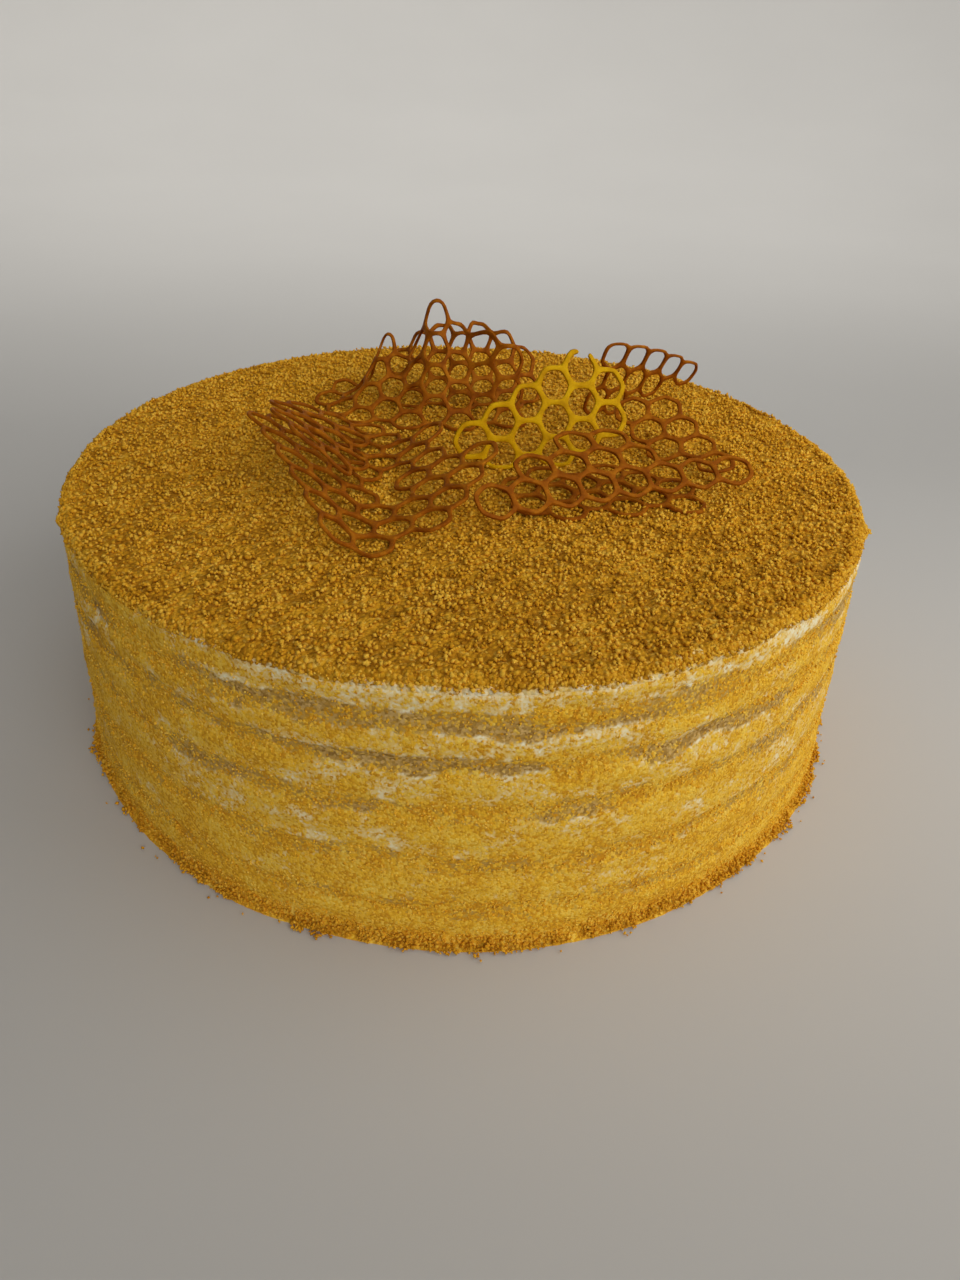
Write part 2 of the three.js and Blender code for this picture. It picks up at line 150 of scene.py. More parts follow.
# ---- Lace wafers: the solids' lattice and paths, with slightly thicker struts ----
CELL_PITCH = 8.7
CELL_SIDE = CELL_PITCH / math.sqrt(3)
CELL_POINTS = 12
HOLE_CORNER = 1.15             # reach of a hole's rounded corners, for each mm towards its sides
CURVE_STEPS = 16
NORMAL_STEP = 0.05
RUFFLE_POWER = 1.5
STRUTS = {"yellow": 1.55, "caramel": 1.3}
THICKNESSES = {"yellow": 1.15, "caramel": 1.0}
HOLE_UNEVEN = 0.05
HOLE_SEED = 81
WAFER_DEFAULTS = dict(lift=1.5, turn=0, rise=(0, 0), left_lean=(0, 0), right_lean=(0, 0),
                      left_curl=0, fold=3, ruffle=(0, 1, 0), span=25, grid=0, broken=())
WAFERS = (
    dict(name="wafer_yellow", tint="yellow", start=(12, -8.5), lift=1.2, heading=11.5,
         turn=-3, length=40, left_lean=(77, 54), left_curl=-0.22, fold=2, origin=(-3.25, 20.35),
         columns=((-1, -3, -3), (0, -4, -2), (1, -3, -1), (2, -4, 0), (3, -3, 1), (4, -2, 0)),
         broken=((3, 1, 2),)),
    dict(name="wafer_front_right", tint="caramel", start=(23.6, -41.8), lift=2.7, heading=22.9,
         turn=-16.6, rise=(0.7, 5), length=60, left_lean=(36.2, 26.8), left_curl=-0.9,
         origin=(10.8, 23.2), grid=90, columns=((0, -2, 0), (-1, -3, 3), (-2, -8, 6))),
    dict(name="wafer_front_under", tint="caramel", start=(14, -38), lift=1, heading=16, turn=-10,
         length=50, left_lean=(5, 3), origin=(3, 5),
         columns=((0, 0, 2), (1, -1, 3), (2, 0, 2), (3, -1, 3), (4, 0, 2), (5, -1, 1))),
    dict(name="wafer_low_right", tint="caramel", start=(63.6, -12.1), lift=3.2, heading=-6.4,
         turn=-1.8, rise=(8, 0), length=40, left_lean=(11.2, 1.7), left_curl=0.5,
         origin=(1.1, 3.2), grid=90, columns=((0, 0, 0), (1, 1, 3), (2, 2, 4), (3, 3, 5))),
    dict(name="wafer_back_right", tint="caramel", start=(38, 12), lift=28, heading=36, turn=6,
         rise=(-10, -24), length=37, left_lean=(-70, -62), fold=1, origin=(3, 4.3), grid=90,
         columns=((0, -8, 0), (1, -5, -1), (2, -2, 0))),
    dict(name="wafer_ruffled", tint="caramel", start=(-43.4, 24.5), heading=-24, turn=50,
         length=68, left_lean=(14, 86), fold=4, ruffle=(4.6, 3, -84), span=27, origin=(4, 5),
         columns=((-1, 1, 3), (0, 0, 4), (1, -1, 5), (2, 0, 4), (3, -1, 5), (4, 0, 6),
                  (5, -1, 5), (6, 0, 4), (7, -1, 3))),
    dict(name="wafer_ruffled_back", tint="caramel", start=(-29, 39), heading=-22, turn=46,
         length=50, left_lean=(48, 60), ruffle=(3, 3.1, 200), origin=(4, 5),
         columns=((0, 0, 2), (1, -1, 3), (2, 0, 4), (3, -1, 3), (4, 0, 4), (5, -1, 3),
                  (6, 0, 2))),
    dict(name="wafer_left", tint="caramel", start=(-20, -60), heading=93, length=72,
         left_lean=(40, 14), left_curl=0.2, right_lean=(12, 35), fold=6, origin=(4, 0),
         columns=((0, 0, 2), (1, -3, 3), (2, 0, 4), (2, -4, -2), (3, 1, 5), (3, -5, -3),
                  (4, 2, 6), (4, -6, -2), (5, 1, 7), (5, -3, -3), (6, -2, 6), (7, -3, 3),
                  (8, 0, 4))),
    dict(name="wafer_left_inner", tint="caramel", start=(-24, -32), lift=5, heading=96,
         length=45, left_lean=(52, 24), left_curl=-0.6, fold=5, origin=(4, 0),
         columns=((0, 2, 4), (1, 1, 5), (2, 2, 4), (3, 1, 5), (4, 0, 4))),
)

# ---- Camera, in the photo's 960 by 1280 frame ----
FOCAL_PIXELS = 850
FRAME_HEIGHT = 1280
SENSOR = 36
CAMERA_PLACE = (0, -219.3, 158.7)
CAMERA_DOWN, CAMERA_ROLL, CAMERA_YAW = 34.73, 2.56, 1.41


# ---- Noise ----

WORD = 0xFFFFFFFF
SEED_FACTOR, MIX_FACTOR = 0x9E3779B1, 0x2C1B3C6D
AXIS_FACTORS = (0x85EBCA6B, 0xC2B2AE35, 0x27D4EB2F)
FIRST_SHIFT, SECOND_SHIFT = 15, 12


def draw(cells, seed):
    """One repeatable number between 0 and 1 for each row of whole numbers."""
    value = np.full(cells.shape[:-1], (seed * SEED_FACTOR) & WORD, np.uint32)
    for axis, factor in enumerate(AXIS_FACTORS):
        whole = cells[..., axis].astype(np.int64) & WORD
        value ^= whole.astype(np.uint32) * np.uint32(factor)
        value ^= value >> np.uint32(FIRST_SHIFT)
        value *= np.uint32(MIX_FACTOR)
        value ^= value >> np.uint32(SECOND_SHIFT)
    return value / (WORD + 1)


def soft_noise(points, size, seed):
    """Smooth noise between -1 and 1 whose features are about size across."""
    place = points / np.asarray(size, float)
    cell = np.floor(place)
    part = place - cell
    part = part * part * (3 - 2 * part)
    total = np.zeros(len(points))
    for corner in itertools.product((0, 1), repeat=3):
        weight = np.prod(np.where(np.array(corner) == 1, part, 1 - part), axis=1)
        total += weight * draw(cell + np.array(corner), seed)
    return 2 * total - 1


def layered_noise(points, layers, base=0):
    """Layers of soft noise, each given by size, strength and seed, added to a base."""
    return sum((strength * soft_noise(points, size, seed) for size, strength, seed in layers), base)


def clumps(points, size, seed):
    """Rounded lumps, from 0 between them to 1 on their crowns."""
    place = points / size
    cell = np.floor(place)
    nearest = np.full(len(points), np.inf)
    for step in itertools.product((-1, 0, 1), repeat=3):
        near = cell + np.array(step)
        middle = near + np.stack([draw(near, seed + axis) for axis in range(3)], 1)
        nearest = np.minimum(nearest, ((place - middle) ** 2).sum(1))
    return np.sqrt(np.clip(1 - nearest, 0, 1))


def smooth_step(low, high, value):
    share = np.clip((value - low) / (high - low), 0, 1)
    return share * share * (3 - 2 * share)


# ---- The cake's own form ----

def wander(angle, phase):
    return sum(np.sin(count * angle + shift * phase) for count, shift in ROUND_WAVES) / len(ROUND_WAVES)


def wall_radius(angle, height):
    taper = FOOT_RADIUS + (TOP_RADIUS - FOOT_RADIUS) * height / CAKE_HEIGHT
    flare = FOOT_FLARE * np.maximum(0, 1 - height / FOOT_FLARE_HEIGHT) ** 2
    return taper + flare + WALL_WAVE * wander(angle, WALL_PHASE)


def boundary(index, angle):
    """Height of the boundary above a layer at the wall, with the underside below the first."""
    if index < 0:
        return np.zeros_like(angle)
    _, top, wave, _ = LAYERS[index]
    return top + wave * wander(angle, BOUNDARY_PHASE * index)


def polar(angle, radius, height):
    return np.stack([radius * np.cos(angle), radius * np.sin(angle), height + 0 * angle], 1)


def angle_gap(angle, degrees):
    """Degrees between an angle in radians and one in degrees."""
    return np.abs((np.degrees(angle) - degrees + 180) % 360 - 180)


def band_share(index, angle, height):
    """How far a height belongs to one layer's band, with soft borders. The lowest and
    the highest band reach past the wall's ends."""
    low = boundary(index - 1, angle) if index else np.full_like(angle, -CAKE_HEIGHT)
    high = boundary(index, angle) if index < len(LAYERS) - 1 else np.full_like(angle, 2 * CAKE_HEIGHT)
    above = smooth_step(-BAND_BLEND, BAND_BLEND, height - low)
    return above * (1 - smooth_step(-BAND_BLEND, BAND_BLEND, height - high))


def wall_fields(points, angle, height):
    """How densely crumbs cover the wall, from 0 to 1, and how far biscuit shows rather than cream."""
    smeared = layered_noise(points, BAND_SMEARS, height)
    bare, biscuit = np.zeros_like(height), np.zeros_like(height)
    for index, (name, _, _, bareness) in enumerate(LAYERS):
        share = band_share(index, angle, smeared)
        bare += bareness * share
        if name.startswith("honey"):
            biscuit += share
    bare *= np.clip(SWELL_MEAN + layered_noise(points, BAND_SWELLS), 0, SWELL_MOST)
    for band, degrees, half_width, strength in BARE_STRETCHES:
        near = np.exp(-(angle_gap(angle, degrees) / half_width) ** 2)
        bare = bare + strength * near * band_share(band, angle, smeared)
    coat = smooth_step(*COAT_HEIGHTS, layered_noise(points, COAT_EDGE, height))
    covered = coat + FOOT_COVER * (1 - smooth_step(*FOOT_COVER_HEIGHTS, height))
    patches = layered_noise(points, COVER_PATCHES)
    cover = LEAST_COVER + (1 - LEAST_COVER) * np.clip(1 - bare + patches + covered, 0, 1)
    return cover, np.clip(biscuit, 0, 1)


def wall_relief(points, angle, height, cover):
    """How far the finished wall stands out: smears, clumps of crumbs, the top edge's wobble and lumps."""
    depth = CLUMP_DEPTH * (BARE_CLUMPS + (1 - BARE_CLUMPS) * cover)
    relief = layered_noise(points, STREAKS)
    relief = relief + depth * (clumps(points, CLUMP_SIZE, CLUMP_SEED) - CLUMP_MEAN)
    rim = smooth_step(*RIM_WOBBLE_HEIGHTS, height)
    relief = relief + RIM_WOBBLE * rim * soft_noise(points, RIM_WOBBLE_SIZE, RIM_WOBBLE_SEED)
    for degrees, size, reach in RIM_LUMPS:
        side = np.radians(angle_gap(angle, degrees)) * TOP_RADIUS / size
        up = (height - CAKE_HEIGHT + RIM_LUMP_DROP) / size
        relief = relief + reach * np.exp(-side ** 2 - up ** 2)
    return relief


def wall_points(angle, height, band):
    """Points of the finished wall, how crumbs cover it and where biscuit shows."""
    base = polar(angle, wall_radius(angle, height), height)
    cover, biscuit = wall_fields(base, angle, height)
    radius = wall_radius(angle, height) + wall_relief(base, angle, height, cover) + band
    return polar(angle, radius, height), cover, biscuit


def heaps(x, y):
    """Little heaps that the crumbs of the top gather in, from 0 between them to 1 on them."""
    flat = np.stack([x, y, np.full_like(x, CAKE_HEIGHT)], 1)
    lumps = sum(strength * clumps(flat, size, seed) for size, strength, seed in HEAP_LAYERS)
    return np.clip(HEAP_MEAN + HEAP_CONTRAST * (lumps - HEAP_MIDDLE), 0, 1)


def top_height(x, y):
    waves = sum(np.sin(a * x + b * y + phase) for a, b, phase in TOP_WAVES) / len(TOP_WAVES)
    base = np.stack([x, y, np.full_like(x, CAKE_HEIGHT)], 1)
    relief = TOP_CLUMP_DEPTH * (clumps(base, CLUMP_SIZE, CLUMP_SEED) - TOP_CLUMP_MEAN)
    relief = relief + HEAP_HEIGHT * (heaps(x, y) - HEAP_MEAN)
    return CAKE_HEIGHT + TOP_RELIEF * waves + relief


# ---- Meshes ----

SHARP_EDGE = math.radians(75)  # keeps the shading of a wall clear of the flat face behind it


def new_piece(name, points, quads, triangles, material, node, fields=()):
    """A piece from points in millimetres that rides on the cake, with its named fields."""
    mesh = bpy.data.meshes.new(name)
    quads = np.asarray(quads, np.int64).reshape(-1, 4)
    triangles = np.asarray(triangles, np.int64).reshape(-1, 3)
    corners = np.concatenate([quads.ravel(), triangles.ravel()]).astype(np.int32)
    starts = np.concatenate([4 * np.arange(len(quads)), 4 * len(quads) + 3 * np.arange(len(triangles))])
    mesh.vertices.add(len(points))
    mesh.vertices.foreach_set("co", (np.asarray(points) * MM).astype(np.float32).ravel())
    mesh.loops.add(len(corners))
    mesh.loops.foreach_set("vertex_index", corners)
    mesh.polygons.add(len(starts))
    mesh.polygons.foreach_set("loop_start", starts.astype(np.int32))
    mesh.polygons.foreach_set("use_smooth", np.full(len(starts), True))
    for field, values in fields:
        attribute = mesh.attributes.new(field, "FLOAT", "POINT")
        attribute.data.foreach_set("value", np.asarray(values, np.float32))
    mesh.update(calc_edges=True)
    mesh.validate()
    if len(quads):
        mesh.set_sharp_from_angle(angle=SHARP_EDGE)
    mesh.materials.append(material)
    piece = bpy.data.objects.new(name, mesh)
    bpy.context.scene.collection.objects.link(piece)
    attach(piece, "root")
    if node:
        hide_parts(node)
    return piece


def ring_quads(rows, around):
    """Quads between rings of points that lie one after another, facing outwards."""
    row, step = np.meshgrid(np.arange(rows), np.arange(around), indexing="ij")
    here = row * around + step
    beside = row * around + (step + 1) % around
    return np.stack([here, beside, beside + around, here + around], -1).reshape(-1, 4)


def fan(ring, centre, upwards):
    beside = np.roll(ring, -1)
    order = (ring, beside) if upwards else (beside, ring)
    return np.stack([*order, np.full_like(ring, centre)], 1)


def layer_piece(index, material, slot):
    name, top, _, _ = LAYERS[index]
    floor = LAYERS[index - 1][1] if index else 0
    rows = max(LEAST_ROWS, round((top - floor) / ROW_HEIGHT))
    share, angle = np.meshgrid(np.linspace(0, 1, rows + 1), 2 * np.pi * np.arange(AROUND) / AROUND,
                               indexing="ij")
    share, angle = share.ravel(), angle.ravel()
    low, high = boundary(index - 1, angle), boundary(index, angle)
    height = low + (high - low) * share
    sign = 1 if slot == "cream" else -1
    wall, cover, biscuit = wall_points(angle, height, sign * BAND_DEPTH * np.sin(np.pi * share))
    points = np.concatenate([wall, [[0, 0, floor], [0, 0, top]]])
    bottom_ring = np.arange(AROUND)
    caps = np.concatenate([fan(bottom_ring, len(wall), False),
                           fan(bottom_ring + rows * AROUND, len(wall) + 1, True)])
    new_piece(name + "_skin", points, ring_quads(rows, AROUND), caps, material, name,
              fields=[("cover", np.append(cover, [1, 1])), ("biscuit", np.append(biscuit, [0, 0]))])


def top_piece(material):
    """The crumb coat: an even grid pressed into a disc, its rounded edge and its underside."""
    side = np.linspace(-1, 1, GRID + 1)
    a, b = (grid.ravel() for grid in np.meshgrid(side, side, indexing="ij"))
    wide = np.abs(a) > np.abs(b)
    with np.errstate(divide="ignore", invalid="ignore"):
        share = np.where(wide, a, b)
        angle = np.where(wide, np.pi / 4 * b / a, np.pi / 2 - np.pi / 4 * a / b)
    angle = np.where(share == 0, 0, angle) + np.where(share < 0, np.pi, 0)
    share = np.abs(share)
    flat_radius = wall_radius(angle, CAKE_HEIGHT) - RIM_ROUND
    x, y = share * flat_radius * np.cos(angle), share * flat_radius * np.sin(angle)
    heights = top_height(x, y)
    grid_points = np.stack([x, y, heights], 1)
    at = np.arange((GRID + 1) ** 2).reshape(GRID + 1, GRID + 1)
    quads = np.stack([at[:-1, :-1], at[1:, :-1], at[1:, 1:], at[:-1, 1:]], -1).reshape(-1, 4)

    # The grid's border, put in order of angle, is the first ring of the rounded edge.
    border = np.flatnonzero(np.isclose(share, 1))
    step = np.round(angle[border] * AROUND / (2 * np.pi)).astype(int) % AROUND
    ring = np.empty(AROUND, int)
    ring[step] = border
    around = 2 * np.pi * np.arange(AROUND) / AROUND
    edge_height = grid_points[ring, 2]
    lowest = boundary(len(LAYERS) - 1, around)
    rows, covers = [], [np.ones(len(grid_points))]
    for row in range(1, ROUND_ROWS + 1):
        turn = math.pi / 2 * row / ROUND_ROWS
        drop = RIM_DROP * (1 - math.cos(turn))
        closing = (row / ROUND_ROWS) ** ROUND_POWER
        height = edge_height - drop - (edge_height - RIM_DROP - lowest) * closing
        base_height = np.minimum(height, CAKE_HEIGHT)
        base = polar(around, wall_radius(around, base_height), base_height)
        cover, _ = wall_fields(base, around, base_height)
        relief = wall_relief(base, around, base_height, cover) * math.sin(turn)
        radius = wall_radius(around, base_height) - RIM_ROUND * (1 - math.sin(turn)) + relief
        rows.append(polar(around, radius, height))
        covers.append(cover)
    points = np.concatenate([grid_points, *rows, [[0, 0, LAYERS[-1][1]]]])
    first = len(grid_points)
    rings = [ring] + [first + AROUND * row + np.arange(AROUND) for row in range(ROUND_ROWS)]
    for above, below in zip(rings, rings[1:]):
        edge = np.stack([below, np.roll(below, -1), np.roll(above, -1), above], 1)
        quads = np.concatenate([quads, edge])
    cap = fan(rings[-1], len(points) - 1, False)
    new_piece("crumb_top_skin", points, quads, cap, material, "crumb_top",
              fields=[("heap", heaps(points[:, 0], points[:, 1])),
                      ("cover", np.concatenate([*covers, [1]]))])


def crumb_piece(name, places, out, sizes, tone, material, seed):
    """Loose crumbs, each an uneven lump with eight faces, turned at random. Their shade
    is part chance and part the tone of the place, from 0 to 1."""
    random = np.random.default_rng(seed)
    count = len(places)
    lump = np.concatenate([np.eye(3), -np.eye(3)])
    corners = lump * random.uniform(*LUMP_REACH, (count, len(lump), 1))
    corners = corners + random.uniform(-LUMP_SKEW, LUMP_SKEW, (count, len(lump), 3))
    turn = random.normal(size=(count, 4))
    turn /= np.linalg.norm(turn, axis=1, keepdims=True)
    axis, real = turn[:, None, 1:], turn[:, None, :1]
    cross = np.cross(axis, corners)
    corners = corners + 2 * (real * cross + np.cross(axis, cross))
    points = places[:, None] + (corners / 2 + CRUMB_LIFT * out[:, None]) * sizes[:, None, None]
    above = np.array([[0, 1, 2], [1, 3, 2], [3, 4, 2], [4, 0, 2]])
    below = np.array([[1, 0, 5], [3, 1, 5], [4, 3, 5], [0, 4, 5]])
    triangles = len(lump) * np.arange(count)[:, None, None] + np.concatenate([above, below])
    shade = (1 - TONE_SHARE) * random.uniform(0, 1, count) + TONE_SHARE * tone
    shade = np.repeat(shade, len(lump))
    new_piece(name, points.reshape(-1, 3), [], triangles, material, None,
              fields=[("shade", shade)])


def crumb_sizes(random, count, low, high):
    """Mostly fine crumbs with a few coarse ones."""
    return low + (high - low) * random.beta(*SIZE_SPREAD, count)


def top_crumbs(material):
    random = np.random.default_rng(TOP_SEED)
    tries = TOP_TRIES * TOP_CRUMBS
    angle = random.uniform(0, 2 * np.pi, tries)
    reach = (wall_radius(angle, CAKE_HEIGHT) - TOP_MARGIN) * np.sqrt(random.uniform(0, 1, tries))
    heap = heaps(reach * np.cos(angle), reach * np.sin(angle))
    stays = BETWEEN_HEAPS + (1 - BETWEEN_HEAPS) * heap
    kept = np.flatnonzero(random.uniform(0, 1, tries) < stays)[:TOP_CRUMBS]
    angle, reach, heap = angle[kept], reach[kept], heap[kept]
    x, y = reach * np.cos(angle), reach * np.sin(angle)
    fall = RIM_DROP * smooth_step(0, 1, (reach - TOP_RADIUS + RIM_ROUND) / RIM_ROUND) ** 2
    pile = TOP_PILE * heap * random.uniform(0, 1, len(kept))
    places = np.stack([x, y, top_height(x, y) - fall + pile], 1)
    out = np.tile([0, 0, 1.0], (len(kept), 1))
    sizes = crumb_sizes(random, len(kept), *TOP_SIZES)
    # Each crumb takes its heap as its tone: painted shade, lighter on the heaps and darker between them.
    crumb_piece("crumbs_top", places, out, sizes, heap, material, TOP_SEED + 1)


def rim_crumbs(material):
    """Crumbs on the rounded top edge, some of which hang a little over the bands."""
    random = np.random.default_rng(RIM_SEED)
    angle = random.uniform(0, 2 * np.pi, RIM_CRUMBS)
    along = random.uniform(0, 1, RIM_CRUMBS)
    ragged = layered_noise(polar(angle, TOP_RADIUS, 0), RIM_RAGGED, 1)
    turn = np.pi / 2 * (RIM_TURN * along)
    hang = np.maximum(0, along - HANG_FROM) * HANG_GROWTH * RIM_HANG * ragged
    height = CAKE_HEIGHT - RIM_DROP * (1 - np.cos(turn)) - hang
    base = polar(angle, wall_radius(angle, height), height)
    relief = wall_relief(base, angle, height, np.ones(RIM_CRUMBS)) * np.sin(turn)
    radius = wall_radius(angle, height) - RIM_ROUND * (1 - np.sin(turn)) + relief
    out = polar(angle, np.sin(turn), 0)
    out[:, 2] = np.cos(turn)
    sizes = crumb_sizes(random, RIM_CRUMBS, *RIM_SIZES)
    places = polar(angle, radius, height)
    crumb_piece("crumbs_rim", places, out, sizes, RIM_TONE, material, RIM_SEED + 1)


def side_crumbs(material):
    random = np.random.default_rng(SIDE_SEED)
    tries = SIDE_TRIES * SIDE_CRUMBS
    angle = random.uniform(0, 2 * np.pi, tries)
    height = random.uniform(SIDE_FROM, CAKE_HEIGHT - SIDE_MARGIN, tries)
    wall, cover, _ = wall_points(angle, height, 0)
    kept = np.flatnonzero(random.uniform(*COVER_DRAW, tries) < cover)[:SIDE_CRUMBS]
    out = polar(angle[kept], np.ones(len(kept)), np.zeros(len(kept)))
    sizes = crumb_sizes(random, len(kept), *SIDE_SIZES)
    crumb_piece("crumbs_side", wall[kept], out, sizes, PLAIN_TONE, material, SIDE_SEED + 1)


def foot_crumbs(material):
    """The ragged bank of coarser crumbs round the underside, with a few strays."""
    random = np.random.default_rng(FOOT_SEED)
    angle = random.uniform(0, 2 * np.pi, FOOT_CRUMBS)
    ragged = layered_noise(polar(angle, FOOT_RADIUS, 0), FOOT_RAGGED, 1)
    stray = random.uniform(0, 1, FOOT_CRUMBS) < FOOT_STRAYS
    near = ragged * FOOT_SPREAD * random.uniform(0, 1, FOOT_CRUMBS) ** FOOT_SPREAD_POWER
    spread = np.where(stray, random.uniform(*STRAY_REACH, FOOT_CRUMBS), near)
    sizes = crumb_sizes(random, FOOT_CRUMBS, *FOOT_SIZES)
    pile = FOOT_PILE * random.uniform(0, 1, FOOT_CRUMBS) ** FOOT_PILE_POWER
    pile = pile * np.exp(-FOOT_PILE_FALL * spread)
    height = FOOT_SEAT * sizes + np.where(stray, 0, pile)
    places = polar(angle, wall_radius(angle, height) - FOOT_SINK + spread, height)
    out = np.zeros((FOOT_CRUMBS, 3))
    crumb_piece("crumbs_foot", places, out, sizes, PLAIN_TONE, material, FOOT_SEED + 1)


# ---- Lace wafers ----

def sheet_points(wafer, along, across):
    """Points of the bent sheet that belong to (along, across) on the flat one."""
    share = along / wafer["length"]
    point = np.tile([*wafer["start"], CAKE_HEIGHT + wafer["lift"]], (len(along), 1)).astype(float)
    for step in range(CURVE_STEPS):
        t = share * (step + 0.5) / CURVE_STEPS
        plan = np.radians(wafer["heading"] + wafer["turn"] * t)
        slope = np.radians(wafer["rise"][0] + (wafer["rise"][1] - wafer["rise"][0]) * t)
        run = along / CURVE_STEPS
        point += np.stack([np.cos(plan) * np.cos(slope), np.sin(plan) * np.cos(slope),
                           np.sin(slope)], 1) * run[:, None]
    on_left = across >= 0
    reach = np.abs(across)
    left, right = wafer["left_lean"], wafer["right_lean"]
    lean = np.radians(np.where(on_left, left[0] + (left[1] - left[0]) * share,
                               right[0] + (right[1] - right[0]) * share))
    curl = np.where(on_left, math.radians(wafer["left_curl"]), 0)
    out, up = np.zeros(len(along)), np.zeros(len(along))
    for step in range(CURVE_STEPS):
        part = reach * (step + 0.5) / CURVE_STEPS
        tilt = lean * smooth_step(0, 1, part / wafer["fold"]) + curl * part
        out += np.cos(tilt) * reach / CURVE_STEPS
        up += np.sin(tilt) * reach / CURVE_STEPS
    height, waves, phase = wafer["ruffle"]
    wave = height * (reach / wafer["span"]) ** RUFFLE_POWER
    wave = wave * np.sin(2 * np.pi * waves * share + math.radians(phase))
    out = out - wave * np.sin(lean + curl * reach)
    up = up + wave * np.cos(lean + curl * reach)
    end = np.radians(wafer["heading"] + wafer["turn"] * share)
    side = np.where(on_left, 1, -1) * out
    return point + np.stack([-np.sin(end) * side, np.cos(end) * side, up], 1)


def lattice(wafer, strut):
    """Flat points and point rings of every cell: its outer ring is shared with its neighbours."""
    grid = math.radians(wafer["grid"])
    flat, shared, cells = [], {}, []

    def add(a, b):
        flat.append((wafer["origin"][0] + a * math.cos(grid) - b * math.sin(grid),
                     wafer["origin"][1] + a * math.sin(grid) + b * math.cos(grid)))
        return len(flat) - 1

    for column, first, last in wafer["columns"]:
        for row in range(first, last + 1, 2):
            a, b = column * 1.5 * CELL_SIDE, row * CELL_PITCH / 2
            outer, hole = [], []
            for part in range(CELL_POINTS):
                corner = part % 2 == 0
                angle = 2 * math.pi * part / CELL_POINTS
                reach = CELL_SIDE if corner else CELL_PITCH / 2
                inner = (CELL_PITCH - strut) / 2 * (HOLE_CORNER if corner else 1)
                uneven = draw(np.array([[column, row, part]]), HOLE_SEED)[0] - 0.5
                inner *= 1 + 2 * HOLE_UNEVEN * uneven
                oa, ob = a + reach * math.cos(angle), b + reach * math.sin(angle)
                key = (round(4 * oa / CELL_SIDE), round(4 * ob / CELL_PITCH))
                if key not in shared:
                    shared[key] = add(oa, ob)
                outer.append(shared[key])
                hole.append(add(a + inner * math.cos(angle), b + inner * math.sin(angle)))
            gone = {part for c, r, part in wafer["broken"] if (c, r) == (column, row)}
            cells.append((outer, hole, gone))
    return flat, cells


def wafer_piece(choice, material):
    wafer = {**WAFER_DEFAULTS, **choice}
    strut, thickness = STRUTS[wafer["tint"]], THICKNESSES[wafer["tint"]]
    flat, cells = lattice(wafer, strut)
    parts, edges = [], set()
    for outer, hole, gone in cells:
        for part in range(CELL_POINTS):
            if part in gone:
                continue
            after, before = (part + 1) % CELL_POINTS, (part - 1) % CELL_POINTS
            parts.append((outer[part], outer[after], hole[part], hole[after],
                          after in gone, before in gone))
            edges.add((outer[part], outer[after]))
    rim = [(start, end) for start, end, *_ in parts if (end, start) not in edges]
    pushes = {}
    for start, end in rim:
        step = np.subtract(flat[end], flat[start])
        step /= np.linalg.norm(step)
        for point in (start, end):
            pushes.setdefault(point, []).append((step[1], -step[0]))
    for point, normals in pushes.items():
        total = np.sum(normals, axis=0)
        flat[point] = tuple(np.add(flat[point], total * (strut / 2) * len(normals) / (total @ total)))

    flat = np.array(flat)
    along, across = flat.T

    def change(da, db):
        beyond = sheet_points(wafer, along + da, across + db)
        return beyond - sheet_points(wafer, along - da, across - db)

    normal = np.cross(change(NORMAL_STEP, 0), change(0, NORMAL_STEP))
    normal /= np.linalg.norm(normal, axis=1, keepdims=True)
    middle = sheet_points(wafer, along, across)
    half = thickness / 2 * layered_noise(middle, WAFER_UNEVEN, 1)[:, None]
    points = np.stack([middle + half * normal, middle - half * normal], 1).reshape(-1, 3)
    quads = []

    def wall(start, end):
        quads.append((2 * start, 2 * end, 2 * end + 1, 2 * start + 1))

    for start, end, hole_start, hole_end, starts_gap, ends_gap in parts:
        quads.append((2 * start, 2 * end, 2 * hole_end, 2 * hole_start))
        quads.append((2 * start + 1, 2 * hole_start + 1, 2 * hole_end + 1, 2 * end + 1))
        wall(hole_start, hole_end)
        if starts_gap:
            wall(hole_end, end)
        if ends_gap:
            wall(start, hole_start)
    for start, end in rim:
        wall(end, start)
    piece = new_piece(wafer["name"] + "_lace", points, quads, [], material, wafer["name"])
    rounding = piece.modifiers.new("rounding", "SUBSURF")
    rounding.levels = rounding.render_levels = 1


# ---- Materials ----

def tint(red, green, blue):
    """A shader colour from screen values between 0 and 255."""
    return tuple(((v / 255 + 0.055) / 1.055) ** 2.4 if v > 10 else v / 255 / 12.92
                 for v in (red, green, blue)) + (1,)


MIX_INPUTS, MIX_OUTPUT = (6, 7), 2         # a mix node's sockets for colours


